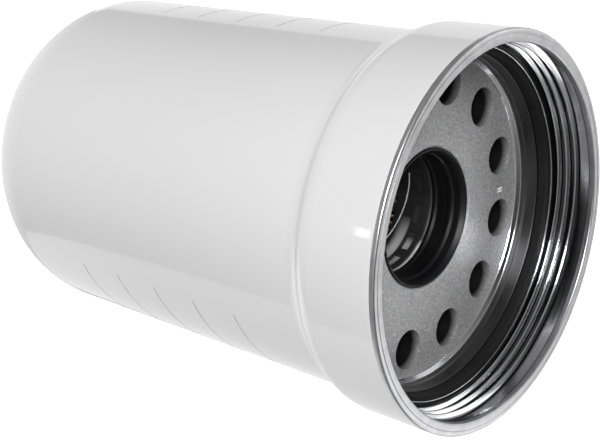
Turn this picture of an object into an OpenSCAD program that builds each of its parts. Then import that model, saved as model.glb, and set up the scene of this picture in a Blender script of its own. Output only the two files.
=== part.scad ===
// Spin-on oil filter with an internal thread: open end up, closed end on the floor.
// Every sub-part is a separate solid, stacked around one axis (Z).
// z = 0 is the flat of the closed end, and the rim face is the highest point.

/* [Canister] */
// Height from the closed end's flat to the rim face
total_h = 184; // [182:1:188]
// Outside diameter of the plain wall
can_d = 112.4; // [111:0.2:113]
// Outside diameter of the collar around the thread
collar_d = 120; // [119.6:0.1:120.6]
// Sheet thickness
wall_t = 1.6; // [1.5:0.1:1.8]
// Outside radius of the bend at the closed end
knuckle_r = 27.7; // [24:0.1:28]
// Depth of the collar, from the rim face to where the shoulder starts
collar_h = 22.2; // [21.8:0.1:23]
// Height of the shoulder between the collar and the plain wall
shoulder_h = 11.4; // [11:0.1:12.4]
// Inside diameter of the rolled lip at the rim
lip_d = 112; // [111.4:0.1:113]

/* [Thread] */
// Diameter at the thread's crests
crest_d = 110.6; // [110.4:0.1:110.8]
// Diameter at the thread's roots
root_d = 114; // [113.6:0.1:114.4]
// Distance between neighbouring crests
pitch = 3.175; // [3:0.025:3.2]
// Depth of the first crest below the rim face
first_crest = 6.9; // [6.6:0.1:7.1]

/* [Flow plate] */
// Depth of the plate's face below the rim face
plate_depth = 25.6; // [25.2:0.1:26]
// Thickness of the plate
plate_t = 7; // [6:0.5:7]
// Diameter of the central bore
bore_d = 43.4; // [43:0.1:43.8]
// Diameter of each flow hole
hole_d = 12.6; // [10:0.1:13]
// Diameter of the circle through the flow holes
hole_pcd = 82; // [80:0.5:83]
// Number of flow holes
hole_count = 12; // [8:1:13]

/* [Filter element] */
// Outside diameter of the element's end caps
cap_d = 97.2; // [94:0.2:99]
// Number of pleats
pleats = 60; // [40:1:66]
// Inside diameter of the centre tube
tube_d = 37.2; // [36.8:0.1:37.4]
// Rows of slots in the centre tube
slot_rows = 11; // [4:1:11]
// Travel of the element against its spring
element_travel = 3; // [1:0.5:3]

/* [Bypass valve] */
// Diameter of the valve's opening
valve_d = 16; // [12:0.5:17]
// Travel of the poppet
valve_travel = 4; // [2:0.5:4]

/* [Hidden] */
$fn = 96;

// Play left between pieces that only rest against each other
gap = 0.1;

// Canister
can_r = can_d / 2;
collar_r = collar_d / 2;
lip_r = lip_d / 2;
lip_t = 2;
rim_round = 1.2;
lip_round = 0.5;
shoulder_z = total_h - collar_h - shoulder_h;
bend_dr = (collar_r - can_r) / 2;
bend_dz = shoulder_h / 2;
bend_r = (bend_dr * bend_dr + bend_dz * bend_dz) / (2 * bend_dr);
bend_a = asin(bend_dz / bend_r);

// Thread ring
crest_r = crest_d / 2;
root_r = root_d / 2;
crest_w = 0.6;
flank_w = (root_r - crest_r) * tan(30);
crests = 3;
ring_r = collar_r - wall_t - gap;
ring_top = total_h - lip_t;
first_z = total_h - first_crest;
last_z = first_z - (crests - 1) * pitch;
ledge_z = total_h - 14.1;
ledge_r = 53.6;
ledge_t = 0.8;
groove_r = 56.2;
groove_floor = total_h - 18.5;
seat_r = 51.6;
step_z = total_h - 22.3;
step_r = 51;
fillet_r = 1.2;
plate_top = total_h - plate_depth;
plate_bottom = plate_top - plate_t;

// Flow plate
plate_r = 54.6;
bore_r = bore_d / 2;
bore_chamfer = 0.9;
hub_r = 25;
hub_h = 3.2;
hub_z = plate_bottom - hub_h;

// Bore seal
rib_r = 19.4;
rib_w = 1.2;
rib_slope = 0.6;
seal_wall_r = 20;
seal_r = bore_r - gap;
seal_top = plate_top - 0.3;
seal_flange_r = 24.6;
seal_flange_t = 2;
seal_bottom = hub_z - gap - seal_flange_t;

// Anti-drainback valve
bead_t = 1.8;
bead_r = 28.6;
skin_t = 1.1;
skin_r = 50;
clamp_t = 1.2;

// Element
sheet_t = 1;
cap_r = cap_d / 2;
cap_top = seal_bottom - gap;
cap_skirt = 7;
tube_r = tube_d / 2;
tube_t = 1;
neck_r = tube_r + tube_t + gap;
bottom_z = 17;
bond_t = 4;
tube_bottom = bottom_z + sheet_t + gap;
tube_top = cap_top - sheet_t;
media_bottom = tube_bottom + bond_t;
media_top = tube_top - bond_t;
media_in = neck_r + sheet_t + 0.8;
media_out = cap_r - sheet_t - 1.8;
fold_depth = 2.2;
band_count = 4;
band_h = 8;
slot_h = 3;
slot_w = 7;
slots_round = 6;
slot_pitch = (tube_top - tube_bottom - 8) / slot_rows;

// Bypass valve
valve_r = valve_d / 2;
body_r = 14.5;
body_wall = 1.2;
body_top = bottom_z + 7;
body_bottom = bottom_z - 2.5;
flange_r = 17.5;
seat_top = bottom_z + 1.5;
seal_t = 1.5;
poppet_r = 10.8;
poppet_t = 1.4;
poppet_z = seat_top + gap + seal_t;
stem_r = 2;
stem_clear = 0.05;
cage_top = body_top + 13;
cage_t = 1.2;
stem_top = cage_top + 2;

// Springs
coil_sides = 8;
coil_steps = 20;
spring_wire = 3.2;
spring_turns = 3;
spring_coil_r = 20.6;
small_wire = 1.2;
small_turns = 5;
small_coil_r = 6.4;

// A ring turned from an outline of [radius, height] points
module turned(outline) {
    rotate_extrude()
        polygon(outline);
}

// A plain ring between two radii and two heights
module ring(inner, outer, low, high) {
    turned([[inner, low], [outer, low], [outer, high], [inner, high]]);
}

// Points of an arc around [x, z], from one angle to another
function arc(x, z, r, from, to, steps) =
    [for (i = [0 : steps]) let (a = from + (to - from) * i / steps)
        [x + r * cos(a), z + r * sin(a)]];

// One side of the canister's sheet, from the axis to the collar's top;
// inset is 0 outside and the sheet's thickness inside
function can_side(inset) = concat(
    [[0, inset]],
    arc(can_r - knuckle_r, knuckle_r, knuckle_r - inset, -90, 0, 14),
    arc(can_r + bend_r, shoulder_z, bend_r + inset, 180, 180 - bend_a, 6),
    arc(collar_r - bend_r, shoulder_z + shoulder_h, bend_r - inset, -bend_a, 0, 6)
);

function reversed(list) = [for (i = [len(list) - 1 : -1 : 0]) list[i]];

// Drawn steel can whose top edge is rolled in over the thread ring
module canister() {
    lip = concat(
        arc(collar_r - rim_round, total_h - rim_round, rim_round, 0, 90, 5),
        arc(lip_r + lip_round, total_h - lip_round, lip_round, 90, 180, 4),
        [[lip_r, ring_top], [collar_r - wall_t, ring_top]]
    );
    color("whitesmoke")
        turned(concat(can_side(0), lip, reversed(can_side(wall_t))));
}

// Outline of one thread crest, from its top flank to its lower one
function crest(z) = [
    [root_r, z + crest_w / 2 + flank_w],
    [crest_r, z + crest_w / 2],
    [crest_r, z - crest_w / 2],
    [root_r, z - crest_w / 2 - flank_w]
];

// Machined steel ring with the internal thread, the gasket's groove and its seat
module thread_ring() {
    upper_crests = [for (i = [0 : crests - 2]) each crest(first_z - i * pitch)];
    last_crest = [
        [root_r, last_z + crest_w / 2 + flank_w],
        [crest_r, last_z + crest_w / 2],
        [crest_r, ledge_z]
    ];
    color("lightsteelblue")
        turned(concat(
            [[ring_r, ring_top], [root_r, ring_top]],
            upper_crests,
            last_crest,
            [
                [ledge_r, ledge_z],
                [ledge_r, ledge_z - ledge_t],
                [groove_r, ledge_z - ledge_t],
                [groove_r, groove_floor],
                [seat_r, groove_floor],
                [seat_r, step_z],
                [step_r, step_z - (seat_r - step_r)]
            ],
            arc(step_r - fillet_r, plate_top + 0.8 + fillet_r, fillet_r, 0, -90, 4),
            [
                [step_r - fillet_r, plate_top],
                [ring_r - 1, plate_top],
                [ring_r, plate_top + 3.5]
            ]
        ));
}

// Square-cut rubber gasket that the engine's sealing face presses on
module main_gasket() {
    inner = seat_r + 0.4;
    outer = groove_r - gap;
    top = ledge_z - ledge_t - gap;
    edge = 0.4;
    color("black")
        turned([
            [inner + edge, groove_floor], [outer, groove_floor], [outer, top],
            [inner + edge, top], [inner, top - edge], [inner, groove_floor + edge]
        ]);
}

// Thick steel plate that closes the canister, with the ring of inlet holes
module flow_plate() {
    color("silver")
        difference() {
            turned([
                [bore_r, hub_z], [hub_r, hub_z], [hub_r, plate_bottom],
                [plate_r - 0.5, plate_bottom], [plate_r, plate_bottom + 0.5],
                [plate_r, plate_top], [bore_r + bore_chamfer, plate_top],
                [bore_r, plate_top - bore_chamfer]
            ]);
            for (i = [0 : hole_count - 1])
                rotate(i * 360 / hole_count)
                    translate([hole_pcd / 2, 0, plate_bottom - 1])
                        cylinder(d = hole_d, h = plate_t + 2);
        }
}

// Outline of one sealing rib, from its top to its bottom
function rib(top) = [
    [seal_wall_r, top + rib_slope],
    [rib_r, top],
    [rib_r, top - rib_w],
    [seal_wall_r, top - rib_w - rib_slope]
];

// Rubber sleeve in the plate's bore, with three ribs that grip the engine's spigot
module bore_seal() {
    middle_top = total_h - 30.4;
    lowest_top = seal_bottom + rib_w + rib_slope + 0.4;
    color("dimgray")
        turned(concat(
            [
                [seal_r, seal_top - 0.3], [seal_r - 0.3, seal_top],
                [rib_r + 0.3, seal_top], [rib_r, seal_top - 0.3],
                [rib_r, seal_top - 0.3 - rib_w],
                [seal_wall_r, seal_top - 0.3 - rib_w - rib_slope]
            ],
            rib(middle_top),
            rib(lowest_top),
            [
                [seal_wall_r, seal_bottom],
                [seal_flange_r, seal_bottom],
                [seal_flange_r, seal_bottom + seal_flange_t],
                [seal_r, seal_bottom + seal_flange_t]
            ]
        ));
}

// Thin rubber dish whose lip closes the inlet holes when the engine stops
module anti_drainback_valve() {
    top = plate_bottom - 0.05;
    skin = [
        [bead_r, top - 0.7], [bead_r + 3.4, top - 1.9],
        [skin_r - 5, top - 1.2], [skin_r, top]
    ];
    color("black")
        turned(concat(
            [[hub_r + gap, top - bead_t], [hub_r + gap, top], [bead_r, top]],
            skin,
            [
                [skin_r, top - skin_t], [skin_r - 5, top - 1.2 - skin_t],
                [bead_r + 3.4, top - 1.9 - skin_t], [bead_r, top - bead_t]
            ]
        ));
}

// Steel ring pressed on the plate's hub to hold the valve's bead
module valve_clamp_ring() {
    top = plate_bottom - 0.05 - bead_t;
    color("gray")
        ring(hub_r + gap / 2, bead_r - 0.2, top - clamp_t, top);
}

// Stamped steel cap, glued on the upper end of the pleats
module element_top_cap() {
    color("goldenrod")
        turned([
            [neck_r, cap_top - cap_skirt], [neck_r + sheet_t, cap_top - cap_skirt],
            [neck_r + sheet_t, cap_top - sheet_t], [cap_r - sheet_t, cap_top - sheet_t],
            [cap_r - sheet_t, cap_top - cap_skirt], [cap_r, cap_top - cap_skirt],
            [cap_r, cap_top - 0.6], [cap_r - 0.6, cap_top],
            [neck_r + 0.6, cap_top], [neck_r, cap_top - 0.6]
        ]);
}

// Adhesive that seals the pleats into the upper cap
module top_bond() {
    color("ivory")
        ring(neck_r + sheet_t + gap, cap_r - sheet_t - gap, media_top, tube_top);
}

// Adhesive that seals the pleats into the lower cap
module bottom_bond() {
    color("ivory")
        ring(tube_r + tube_t + gap, cap_r - sheet_t - gap, tube_bottom, media_bottom);
}

// Zigzag outline of the pleats, moved in by inset
function zigzag(inset) =
    [for (i = [0 : 2 * pleats - 1])
        let (r = (i % 2 == 0 ? media_out : media_in + fold_depth) - inset)
            [r * cos(i * 180 / pleats), r * sin(i * 180 / pleats)]];

// Filter paper folded into pleats around the centre tube
module pleated_media() {
    color("wheat")
        translate([0, 0, media_bottom])
            linear_extrude(media_top - media_bottom)
                difference() {
                    polygon(zigzag(0));
                    polygon(zigzag(fold_depth));
                }
}

// Bands glued around the pleats to keep them evenly spaced
module spacing_bands() {
    low = bottom_z + cap_skirt;
    room = cap_top - cap_skirt - low;
    step = room / band_count;
    color("tan")
        for (i = [0 : band_count - 1])
            translate([0, 0, low + step * (i + 0.5) - band_h / 2])
                ring(media_out + gap, media_out + gap + 0.8, 0, band_h);
}

// Steel tube that keeps the pleats from collapsing, with rows of slots
module centre_tube() {
    color("darkgray")
        difference() {
            ring(tube_r, tube_r + tube_t, tube_bottom, tube_top);
            for (row = [0 : slot_rows - 1])
                translate([0, 0, tube_top - slot_h / 2 - 0.6 - row * slot_pitch])
                    for (i = [0 : slots_round - 1])
                        rotate((i + 0.5 * (row % 2)) * 180 / slots_round)
                            cube([2 * tube_r + 6, slot_w, slot_h], center = true);
        }
}

// Stamped steel cap, glued on the lower end of the pleats
module element_bottom_cap() {
    neck = body_r + gap;
    color("goldenrod")
        turned([
            [neck, bottom_z], [cap_r - 0.6, bottom_z], [cap_r, bottom_z + 0.6],
            [cap_r, bottom_z + cap_skirt], [cap_r - sheet_t, bottom_z + cap_skirt],
            [cap_r - sheet_t, bottom_z + sheet_t], [neck + sheet_t, bottom_z + sheet_t],
            [neck + sheet_t, bottom_z + 5], [neck, bottom_z + 5]
        ]);
}

// Turned cup pressed in the lower cap, with the bypass valve's seat
module bypass_valve_body() {
    color("gainsboro")
        turned([
            [valve_r, body_bottom], [body_r, body_bottom],
            [flange_r, bottom_z - 1.2], [flange_r, bottom_z],
            [body_r, bottom_z], [body_r, body_top],
            [body_r - body_wall, body_top], [body_r - body_wall, seat_top],
            [valve_r, seat_top]
        ]);
}

// Valve plate with its guide stem
module bypass_poppet() {
    pilot_r = 5;
    color("silver")
        turned([
            [0, seat_top + gap], [pilot_r, seat_top + gap], [pilot_r, poppet_z],
            [poppet_r, poppet_z], [poppet_r, poppet_z + poppet_t],
            [stem_r, poppet_z + poppet_t], [stem_r, stem_top], [0, stem_top]
        ]);
}

// Rubber washer under the valve plate
module bypass_seal() {
    color("black")
        ring(5.05, poppet_r - 0.2, seat_top + gap, poppet_z);
}

// Three-legged cage that holds the bypass spring and guides the stem
module bypass_spring_cage() {
    inner = poppet_r + 0.8;
    leg_w = 5;
    leg_t = 1.3;
    disc_r = inner + leg_t + gap;
    color("slategray") {
        ring(inner, body_r, body_top, body_top + cage_t);
        ring(stem_r + stem_clear, disc_r, cage_top - cage_t, cage_top);
        for (i = [0 : 2])
            rotate(i * 120)
                translate([inner, -leg_w / 2, body_top])
                    cube([leg_t, leg_w, cage_top - body_top]);
    }
}

// Height along a coil: the end turns lie flat and the middle ones climb
function climb(t) = t * t * (3 - 2 * t);

// Round wire coiled between two heights, closed at both ends
module coil(coil_r, wire_d, turns, low, high) {
    steps = turns * coil_steps;
    rise = high - low - wire_d;
    points = [
        for (i = [0 : steps], j = [0 : coil_sides - 1])
            let (
                a = i * 360 / coil_steps,
                b = j * 360 / coil_sides,
                r = coil_r + wire_d / 2 * cos(b),
                z = low + wire_d / 2 + rise * climb(i / steps) + wire_d / 2 * sin(b)
            )
            [r * cos(a), r * sin(a), z]
    ];
    sides = [
        for (i = [0 : steps - 1], j = [0 : coil_sides - 1])
            let (
                n = (j + 1) % coil_sides,
                a = i * coil_sides,
                b = a + coil_sides
            )
            [a + j, b + j, b + n, a + n]
    ];
    ends = [
        [for (j = [0 : coil_sides - 1]) j],
        [for (j = [coil_sides - 1 : -1 : 0]) steps * coil_sides + j]
    ];
    polyhedron(points, concat(sides, ends));
}

// Coil spring that closes the bypass valve
module bypass_spring() {
    color("lightgray")
        coil(small_coil_r, small_wire, small_turns,
            poppet_z + poppet_t + gap, cage_top - cage_t - gap);
}

// Coil spring that holds the element up against the bore seal
module element_spring() {
    color("gray")
        coil(spring_coil_r, spring_wire, spring_turns,
            wall_t + sheet_t + gap, bottom_z - gap);
}

// Dished washer that centres the element's spring on the closed end
module spring_seat() {
    inner = 14;
    outer = 25;
    color("darkgray")
        turned([
            [inner, wall_t], [outer, wall_t], [outer, wall_t + 2.4],
            [outer - sheet_t, wall_t + 2.4], [outer - sheet_t, wall_t + sheet_t],
            [inner + sheet_t, wall_t + sheet_t], [inner + sheet_t, wall_t + 3],
            [inner, wall_t + 3]
        ]);
}

canister();
thread_ring();
main_gasket();
flow_plate();
bore_seal();
anti_drainback_valve();
valve_clamp_ring();
element_top_cap();
top_bond();
pleated_media();
spacing_bands();
centre_tube();
bottom_bond();
element_bottom_cap();
bypass_valve_body();
bypass_poppet();
bypass_seal();
bypass_spring();
bypass_spring_cage();
element_spring();
spring_seat();
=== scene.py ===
"""A spin-on oil filter with its thread inside the collar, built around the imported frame."""

import math

import bmesh
import bpy
from bpy.props import FloatProperty, FloatVectorProperty, IntProperty, PointerProperty
from mathutils import Matrix, Vector


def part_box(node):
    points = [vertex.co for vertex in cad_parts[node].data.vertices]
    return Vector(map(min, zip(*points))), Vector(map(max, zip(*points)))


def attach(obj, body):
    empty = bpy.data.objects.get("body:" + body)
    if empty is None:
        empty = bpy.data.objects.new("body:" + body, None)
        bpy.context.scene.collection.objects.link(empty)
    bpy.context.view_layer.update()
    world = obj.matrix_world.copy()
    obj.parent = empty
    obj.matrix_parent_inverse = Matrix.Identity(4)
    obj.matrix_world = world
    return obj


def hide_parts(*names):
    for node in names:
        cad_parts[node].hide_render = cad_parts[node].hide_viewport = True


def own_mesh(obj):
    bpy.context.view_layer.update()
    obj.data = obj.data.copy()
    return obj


bl_info = {
    "name": "Spin-on oil filter",
    "version": (1, 0, 0),
    "blender": (4, 5, 0),
    "location": "3D View > Sidebar > Oil filter",
    "description": "Builds the canister, thread, gasket, plate, seals and element of an oil filter",
    "category": "Add Mesh",
}

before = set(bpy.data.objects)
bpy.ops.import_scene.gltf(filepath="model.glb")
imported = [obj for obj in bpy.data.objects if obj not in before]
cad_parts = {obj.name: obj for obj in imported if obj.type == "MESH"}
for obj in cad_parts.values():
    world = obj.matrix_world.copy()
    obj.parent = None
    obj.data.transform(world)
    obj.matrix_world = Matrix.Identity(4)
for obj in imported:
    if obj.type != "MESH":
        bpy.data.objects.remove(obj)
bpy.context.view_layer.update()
MM = 0.001
MERGE = 1e-6  # lengths shorter than this count as none
OVERLAP = 0.0002  # how far a ridge is sunk into the wall that carries it
ROUND = 192  # segments around a turned piece


def box_mm(node):
    """The lowest and highest corners of a CAD node, in millimetres."""
    low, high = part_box(node)
    return low / MM, high / MM


def heights_mm(node):
    """The lowest and highest height of a CAD node, in millimetres."""
    low, high = box_mm(node)
    return low.z, high.z


def radii_mm(node):
    """The smallest and largest radius of a CAD node's corners, in millimetres."""
    found = [math.hypot(v.co.x, v.co.y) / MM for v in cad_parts[node].data.vertices]
    return min(found), max(found)


RIM = heights_mm("canister")[1]
RING_LOW, RING_HIGH = heights_mm("thread_ring")
PLATE_LOW, PLATE_TOP = heights_mm("flow_plate")
COLLAR_R = radii_mm("canister")[1]
LIP_FOOT = 1.5  # millimetres below the rim where the paint ends and the bare lip starts


# ---------------------------------------------------------------- sizes and colours


def length(label, text, value):
    """A property for one length, in metres."""
    return FloatProperty(name=label, description=text, default=value, min=0.0, unit="LENGTH", precision=5)


def colour(label, text, value):
    """A property for one colour."""
    return FloatVectorProperty(
        name=label, description=text, default=value, subtype="COLOR", size=3, min=0.0, max=1.0
    )


class FilterSizes(bpy.types.PropertyGroup):
    """Sizes of the pieces that the frame's boxes don't give."""

    wall_radius: length("Wall radius", "Outside radius of the canister's plain wall", 0.0562)
    wall: length("Sheet", "Thickness of the canister's sheet", 0.0016)
    knuckle: length("Knuckle", "Outside radius of the closed end's bend", 0.0277)
    collar: length("Collar", "Height of the collar above the shoulder", 0.0222)
    shoulder: length("Shoulder", "Height of the shoulder below the collar", 0.0114)
    lip_radius: length("Lip radius", "Inside radius of the rolled lip", 0.056)
    lip: length("Lip", "Thickness of the rolled lip", 0.002)
    crest_radius: length("Crest radius", "Radius at the thread's crests", 0.0553)
    root_radius: length("Root radius", "Radius at the thread's roots", 0.057)
    pitch: length("Pitch", "Distance between the thread's crests", 0.003175)
    rule_gap: length("Rule spacing", "Distance between the printed rules", 0.0176)
    rule_height: length("Rule height", "Height of one printed rule", 0.00032)
    hole_radius: length("Hole radius", "Radius of each inlet hole", 0.0063)
    hole_circle: length("Hole circle", "Radius of the circle through the inlet holes", 0.041)
    hole_count: IntProperty(name="Holes", description="Number of inlet holes", default=12, min=3)
    pleats: IntProperty(name="Pleats", description="Number of folds in the paper", default=60, min=20)


class FilterColours(bpy.types.PropertyGroup):
    """Colours of the main finishes."""

    paint: colour("Paint", "Gloss paint on the canister", (0.56, 0.557, 0.56))
    print_ink: colour("Ink", "Printed rules on the paint", (0.20, 0.20, 0.21))
    steel: colour("Machined steel", "Bare steel of the lip and the thread", (0.66, 0.66, 0.67))
    plate: colour("Plate", "Blasted steel of the flow plate", (0.30, 0.30, 0.305))
    rubber: colour("Rubber", "Gasket and bore seal", (0.0035, 0.0035, 0.004))
    paper: colour("Paper", "Resin-cured filter paper", (0.34, 0.29, 0.21))
    floor: colour("Floor", "Studio floor", (0.86, 0.86, 0.86))


def sizes():
    """The scene's sizes."""
    return bpy.context.scene.filter_sizes


# ---------------------------------------------------------------- outlines and turned meshes


def closed_mesh(name, shape):
    """Turns a bmesh's faces outwards and ends it as a mesh."""
    bmesh.ops.recalc_face_normals(shape, faces=shape.faces)
    mesh = bpy.data.meshes.new(name)
    shape.to_mesh(mesh)
    shape.free()
    return mesh


def arc(r, z, radius, start, end, steps):
    """Points of an arc around (r, z), from one angle to another, in degrees."""
    turn = [math.radians(start + (end - start) * i / steps) for i in range(steps + 1)]
    return [(r + radius * math.cos(a), z + radius * math.sin(a)) for a in turn]


def filleted(corners, steps=4):
    """A closed outline from (radius, height, fillet) corners, with each corner rounded."""
    straight = math.radians(88)  # past this half angle the corner is left as it is
    most = 0.48  # the share of a side that one fillet may take
    points = []
    count = len(corners)
    for i, (r, z, fillet) in enumerate(corners):
        here = Vector((r, z))
        before = Vector(corners[i - 1][:2]) - here
        after = Vector(corners[(i + 1) % count][:2]) - here
        if fillet <= 0 or before.length < MERGE or after.length < MERGE:
            points.append((r, z))
            continue
        half = before.angle(after) / 2
        if half > straight:
            points.append((r, z))
            continue
        reach = min(fillet / math.tan(half), most * before.length, most * after.length)
        start = here + before.normalized() * reach
        end = here + after.normalized() * reach
        for step in range(steps + 1):
            t = step / steps
            point = start * (1 - t) ** 2 + here * 2 * t * (1 - t) + end * t * t
            points.append((point.x, point.y))
    return points


def turned_mesh(name, outline):
    """A closed mesh made by turning a closed outline, in millimetres, around the axis."""
    shape = bmesh.new()
    rings = []
    for r, z in outline:
        if r < MERGE:
            rings.append([shape.verts.new((0, 0, z * MM))] * ROUND)
            continue
        turn = [2 * math.pi * i / ROUND for i in range(ROUND)]
        rings.append(
            [shape.verts.new((r * MM * math.cos(a), r * MM * math.sin(a), z * MM)) for a in turn]
        )
    for i, ring in enumerate(rings):
        above = rings[(i + 1) % len(rings)]
        for j in range(ROUND):
            k = (j + 1) % ROUND
            corners = [ring[j], ring[k], above[k], above[j]]
            unique = list(dict.fromkeys(corners))
            if len(unique) > 2:
                shape.faces.new(unique)
    return closed_mesh(name, shape)


def wound_ridge(name, section, turns, steps, pitch, middle, start_turn):
    """A ridge along a right-hand helix.

    section(turns done, turns left) gives the (radius, height) points of its outline there.
    """
    shape = bmesh.new()
    rows = []
    count = int(turns * steps)
    for i in range(count + 1):
        turn = i / steps - turns / 2
        a = start_turn + turn * 2 * math.pi
        z = middle + turn * pitch
        points = section(i / steps, (count - i) / steps)
        rows.append([shape.verts.new((r * math.cos(a), r * math.sin(a), z + h)) for r, h in points])
    sides = len(rows[0])
    for row, following in zip(rows, rows[1:]):
        for j in range(sides):
            k = (j + 1) % sides
            shape.faces.new([row[j], row[k], following[k], following[j]])
    shape.faces.new(rows[0])
    shape.faces.new(rows[-1][::-1])
    mesh = closed_mesh(name, shape)
    smooth(mesh, 50)
    return mesh


def smooth(mesh, degrees=32):
    """Shades a mesh smooth, apart from edges sharper than the angle."""
    for polygon in mesh.polygons:
        polygon.use_smooth = True
    mesh.set_sharp_from_angle(angle=math.radians(degrees))


def place(name, mesh, material, body, replaces=()):
    """Adds a finished piece: its material, the body it rides on and the CAD nodes it stands for."""
    piece = bpy.data.objects.new(name, mesh)
    bpy.context.scene.collection.objects.link(piece)
    mesh.materials.clear()
    mesh.materials.append(material)
    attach(piece, body)
    if replaces:
        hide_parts(*replaces)
    return piece


def turned_piece(name, outline, finish, node):
    """Adds a piece of the housing turned from a closed outline, for one CAD node."""
    mesh = turned_mesh(name, outline)
    smooth(mesh)
    place(name, mesh, finish_named(finish), "housing", (node,))


# ---------------------------------------------------------------- node trees


class NodeWriter:
    """Adds nodes to a tree, one call each, with their inputs linked or set."""

    def __init__(self, tree):
        self.tree = tree

    def add(self, kind, inputs=None, **settings):
        """Adds one node. An input is a socket to link or a value to set."""
        node = self.tree.nodes.new(kind)
        for key, value in settings.items():
            setattr(node, key, value)
        for key, value in (inputs or {}).items():
            socket = node.inputs[key]
            if isinstance(value, bpy.types.NodeSocket):
                self.tree.links.new(value, socket)
            else:
                socket.default_value = value
        return node

    def math(self, operation, first, second=0.0, third=0.0):
        """Adds a Math node and returns its output."""
        values = {0: first, 1: second, 2: third}
        return self.add("ShaderNodeMath", values, operation=operation).outputs[0]

    def times(self, first, second):
        """Multiplies two values."""
        return self.math("MULTIPLY", first, second)

    def vector(self, x, y, z):
        """Adds a Combine XYZ node and returns its output."""
        return self.add("ShaderNodeCombineXYZ", {0: x, 1: y, 2: z}).outputs[0]

    def place(self):
        """Three sockets: the surface's own x, y and z, in metres."""
        spot = self.add("ShaderNodeTexCoord").outputs["Object"]
        return self.add("ShaderNodeSeparateXYZ", {0: spot}).outputs

    def squared_radius(self, x, y):
        """The square of the distance from the axis."""
        return self.math("ADD", self.times(x, x), self.times(y, y))

    def span(self, value, low, high, to_low, to_high):
        """Adds a Map Range node that clamps, and returns its output."""
        values = {"Value": value, "From Min": low, "From Max": high, "To Min": to_low, "To Max": to_high}
        return self.add("ShaderNodeMapRange", values, clamp=True).outputs[0]

    def rising(self, value, low, high):
        """A mask that goes from 0 at low to 1 at high."""
        return self.span(value, low, high, 0.0, 1.0)

    def falling(self, value, low, high):
        """A mask that goes from 1 at low to 0 at high."""
        return self.span(value, low, high, 1.0, 0.0)


class ShapeTree(NodeWriter):
    """A Geometry Nodes tree with named inputs."""

    def __init__(self, name, measures, counts, takes_mesh=False):
        tree = bpy.data.node_groups.new(name, "GeometryNodeTree")
        if takes_mesh:
            tree.interface.new_socket("Mesh", in_out="INPUT", socket_type="NodeSocketGeometry")
        for kind, labels in (("Float", measures), ("Int", counts)):
            for label in labels:
                tree.interface.new_socket(label, in_out="INPUT", socket_type="NodeSocket" + kind)
        tree.interface.new_socket("Material", in_out="INPUT", socket_type="NodeSocketMaterial")
        tree.interface.new_socket("Mesh", in_out="OUTPUT", socket_type="NodeSocketGeometry")
        super().__init__(tree)
        self.given = tree.nodes.new("NodeGroupInput")

    def size(self, label):
        """One of the tree's named inputs."""
        return self.given.outputs[label]

    def rise(self):
        """The height from Low to High."""
        return self.math("SUBTRACT", self.size("High"), self.size("Low"))

    def swept(self, curve, profile, caps):
        """A profile drawn along a curve."""
        values = {"Curve": curve.outputs[0], "Profile Curve": profile.outputs[0], "Fill Caps": caps}
        return self.add("GeometryNodeCurveToMesh", values).outputs[0]

    def spread(self, points, shape):
        """A copy of the shape on every point."""
        copies = {"Points": points.outputs[0], "Instance": shape}
        return self.add("GeometryNodeInstanceOnPoints", copies).outputs[0]

    def raised(self, shape, z):
        """A shape moved up."""
        values = {"Geometry": shape.outputs[0], "Translation": self.vector(0.0, 0.0, z)}
        return self.add("GeometryNodeTransform", values).outputs[0]

    def finish(self, geometry):
        """Realizes the instances, sets the material and ends the tree."""
        real = self.add("GeometryNodeRealizeInstances", {"Geometry": geometry})
        values = {"Geometry": real.outputs[0], "Material": self.size("Material")}
        done = self.add("GeometryNodeSetMaterial", values)
        out = self.tree.nodes.new("NodeGroupOutput")
        self.tree.links.new(done.outputs[0], out.inputs[0])
        return self.tree


def grown_mesh(name, tree, values, start=None):
    """Runs a Geometry Nodes tree and returns its result as a plain mesh."""
    source = bpy.data.objects.new(name + "_source", start or bpy.data.meshes.new(name + "_source"))
    bpy.context.scene.collection.objects.link(source)
    modifier = source.modifiers.new("Shape", "NODES")
    modifier.node_group = tree
    for item in tree.interface.items_tree:
        if item.in_out == "INPUT" and item.name in values:
            modifier[item.identifier] = values[item.name]
    graph = bpy.context.evaluated_depsgraph_get()
    mesh = bpy.data.meshes.new_from_object(source.evaluated_get(graph), depsgraph=graph)
    mesh.name = name
    source.modifiers.remove(modifier)
    bpy.data.objects.remove(source)
    return mesh


def outward(mesh):
    """Merges doubles and turns a closed mesh's faces outwards."""
    shape = bmesh.new()
    shape.from_mesh(mesh)
    bmesh.ops.remove_doubles(shape, verts=shape.verts, dist=MERGE)
    bmesh.ops.recalc_face_normals(shape, faces=shape.faces)
    shape.to_mesh(mesh)
    shape.free()
    return mesh


def coil_tree():
    """A round wire wound along a helix that flattens towards both ends."""
    tree = ShapeTree(
        "Coil",
        ("Coil radius", "Wire radius", "Low", "High", "Turns"),
        ("Steps", "Sides"),
    )
    values = {
        "Resolution": tree.size("Steps"), "Rotations": tree.size("Turns"),
        "Start Radius": tree.size("Coil radius"), "End Radius": tree.size("Coil radius"), "Height": 0.0,
    }
    spiral = tree.add("GeometryNodeCurveSpiral", values)
    factor = tree.add("GeometryNodeSplineParameter").outputs["Factor"]
    squared = tree.times(factor, factor)
    ease = tree.times(squared, tree.math("MULTIPLY_ADD", factor, -2.0, 3.0))
    height = tree.math("MULTIPLY_ADD", tree.rise(), ease, tree.size("Low"))
    offset = {"Geometry": spiral.outputs[0], "Offset": tree.vector(0.0, 0.0, height)}
    helix = tree.add("GeometryNodeSetPosition", offset)
    wire = tree.add(
        "GeometryNodeCurvePrimitiveCircle",
        {"Resolution": tree.size("Sides"), "Radius": tree.size("Wire radius")},
    )
    return tree.finish(tree.swept(helix, wire, True))


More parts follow.
